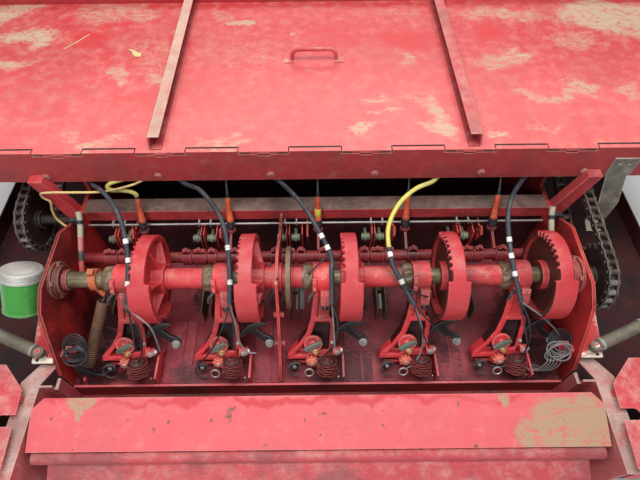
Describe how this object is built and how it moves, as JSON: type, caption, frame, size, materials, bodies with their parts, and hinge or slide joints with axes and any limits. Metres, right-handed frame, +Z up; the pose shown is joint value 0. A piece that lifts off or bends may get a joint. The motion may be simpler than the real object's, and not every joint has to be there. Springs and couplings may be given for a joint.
{
  "type": "baler knotter bank",
  "caption": "Knotter bank of a large square baler: cam discs on one shaft above leaning knotters, under a hinged hood, with drive chains, grease lines and gas struts.",
  "frame": {"origin": "middle of the base, on the plane that the base flanges stand on", "axes": "+X to the operator's right along the knotter shaft, +Y away from the operator under the hood, +Z up"},
  "size_m": [2.1, 1.34, 0.53],
  "materials": {
    "red_paint": "worn red paint over sheet steel, dusty",
    "pale_red_paint": "faded red paint with dust smears and chips",
    "shade_red_paint": "dark red paint, greasy and dusty",
    "red_casting": "red painted castings, worn at the edges",
    "greasy_steel": "steel under old brown grease",
    "plain_steel": "dull steel",
    "galvanised": "galvanised sheet, dusty",
    "chain_steel": "oiled dark roller chain",
    "green_paint": "smooth green enamel",
    "cap_metal": "dull aluminium cap",
    "nozzle_paint": "orange-red paint with grime",
    "hose_plastic": "grey-blue line wrap with white bands",
    "line_plastic": "black nylon grease lines",
    "roller_metal": "greenish worn metal"
  },
  "bodies": {
    "root": {"knotter_table": "shade_red_paint", "front_rail": "red_paint", "front_sill": "shade_red_paint", "apron": "pale_red_paint", "apron_foot": "pale_red_paint", "side_wall_left": "red_paint", "side_wall_right": "red_paint", "side_flange_left": "red_paint", "side_flange_right": "red_paint", "corner_panel_left": "pale_red_paint", "corner_panel_right": "pale_red_paint", "rear_rail": "red_paint", "back_plate": "shade_red_paint", "guide_rod": "plain_steel", "cross_beam": "shade_red_paint", "hood_frame": "shade_red_paint", "braces": "red_paint", "knotter_frame_1": "red_casting", "knotter_frame_2": "red_casting", "knotter_frame_3": "red_casting", "knotter_frame_4": "red_casting", "knotter_frame_5": "red_casting", "knotter_head_1": "red_casting", "knotter_head_2": "red_casting", "knotter_head_3": "red_casting", "knotter_head_4": "red_casting", "knotter_head_5": "red_casting", "cross_tube": "red_paint", "tube_clamps": "shade_red_paint", "nozzles": "nozzle_paint", "twine_rollers": "roller_metal", "twine_guides": "red_paint", "bearing_left": "shade_red_paint", "bearing_right": "shade_red_paint", "centre_support": "red_paint", "tension_spring": "greasy_steel", "spring_clamp": "greasy_steel", "strut_bracket_left": "red_paint", "strut_bracket_right": "red_paint", "distributor_left": "line_plastic", "distributor_right": "line_plastic", "reservoir": "green_paint", "reservoir_cap": "cap_metal", "chain_drive_left": "chain_steel", "chain_drive_right": "chain_steel", "end_bracket": "galvanised", "line_bundles": "hose_plastic"},
    "shaft_set": {"knotter_shaft": "red_paint", "cam_disc_1": "red_casting", "cam_disc_2": "red_casting", "cam_disc_3": "red_casting", "cam_disc_4": "red_casting", "cam_disc_5": "red_casting"},
    "hood_set": {"hood": "pale_red_paint", "hood_ribs": "shade_red_paint", "hood_handle": "shade_red_paint"},
    "cylinder_left": {"gas_cylinder_left": "greasy_steel"},
    "cylinder_right": {"gas_cylinder_right": "greasy_steel"},
    "rod_left": {"gas_rod_left": "plain_steel"},
    "rod_right": {"gas_rod_right": "plain_steel"}
  },
  "joints": [
    {"name": "shaft_turn", "type": "hinge", "parent": "root", "child": "shaft_set", "pos_m": [0, -0.24, 0.3], "axis": [1, 0, 0], "continuous": true},
    {"name": "hood_lift", "type": "hinge", "parent": "root", "child": "hood_set", "pos_m": [0, 0.006, 0.481], "axis": [1, 0, 0], "range_deg": [0, 80]},
    {"name": "strut_swing_right", "type": "hinge", "parent": "root", "child": "cylinder_right", "pos_m": [0.664, -0.398, 0.226], "axis": [0, 0, 1], "range_deg": [-6, 20]},
    {"name": "strut_swing_left", "type": "hinge", "parent": "root", "child": "cylinder_left", "pos_m": [-0.664, -0.398, 0.226], "axis": [0, 0, -1], "range_deg": [-6, 20]},
    {"name": "strut_slide_right", "type": "slide", "parent": "cylinder_right", "child": "rod_right", "axis": [0.9193, 0.3597, 0.1599], "range_m": [-0.03, 0]},
    {"name": "strut_slide_left", "type": "slide", "parent": "cylinder_left", "child": "rod_left", "axis": [-0.9193, 0.3597, 0.1599], "range_m": [-0.03, 0]}
  ]
}
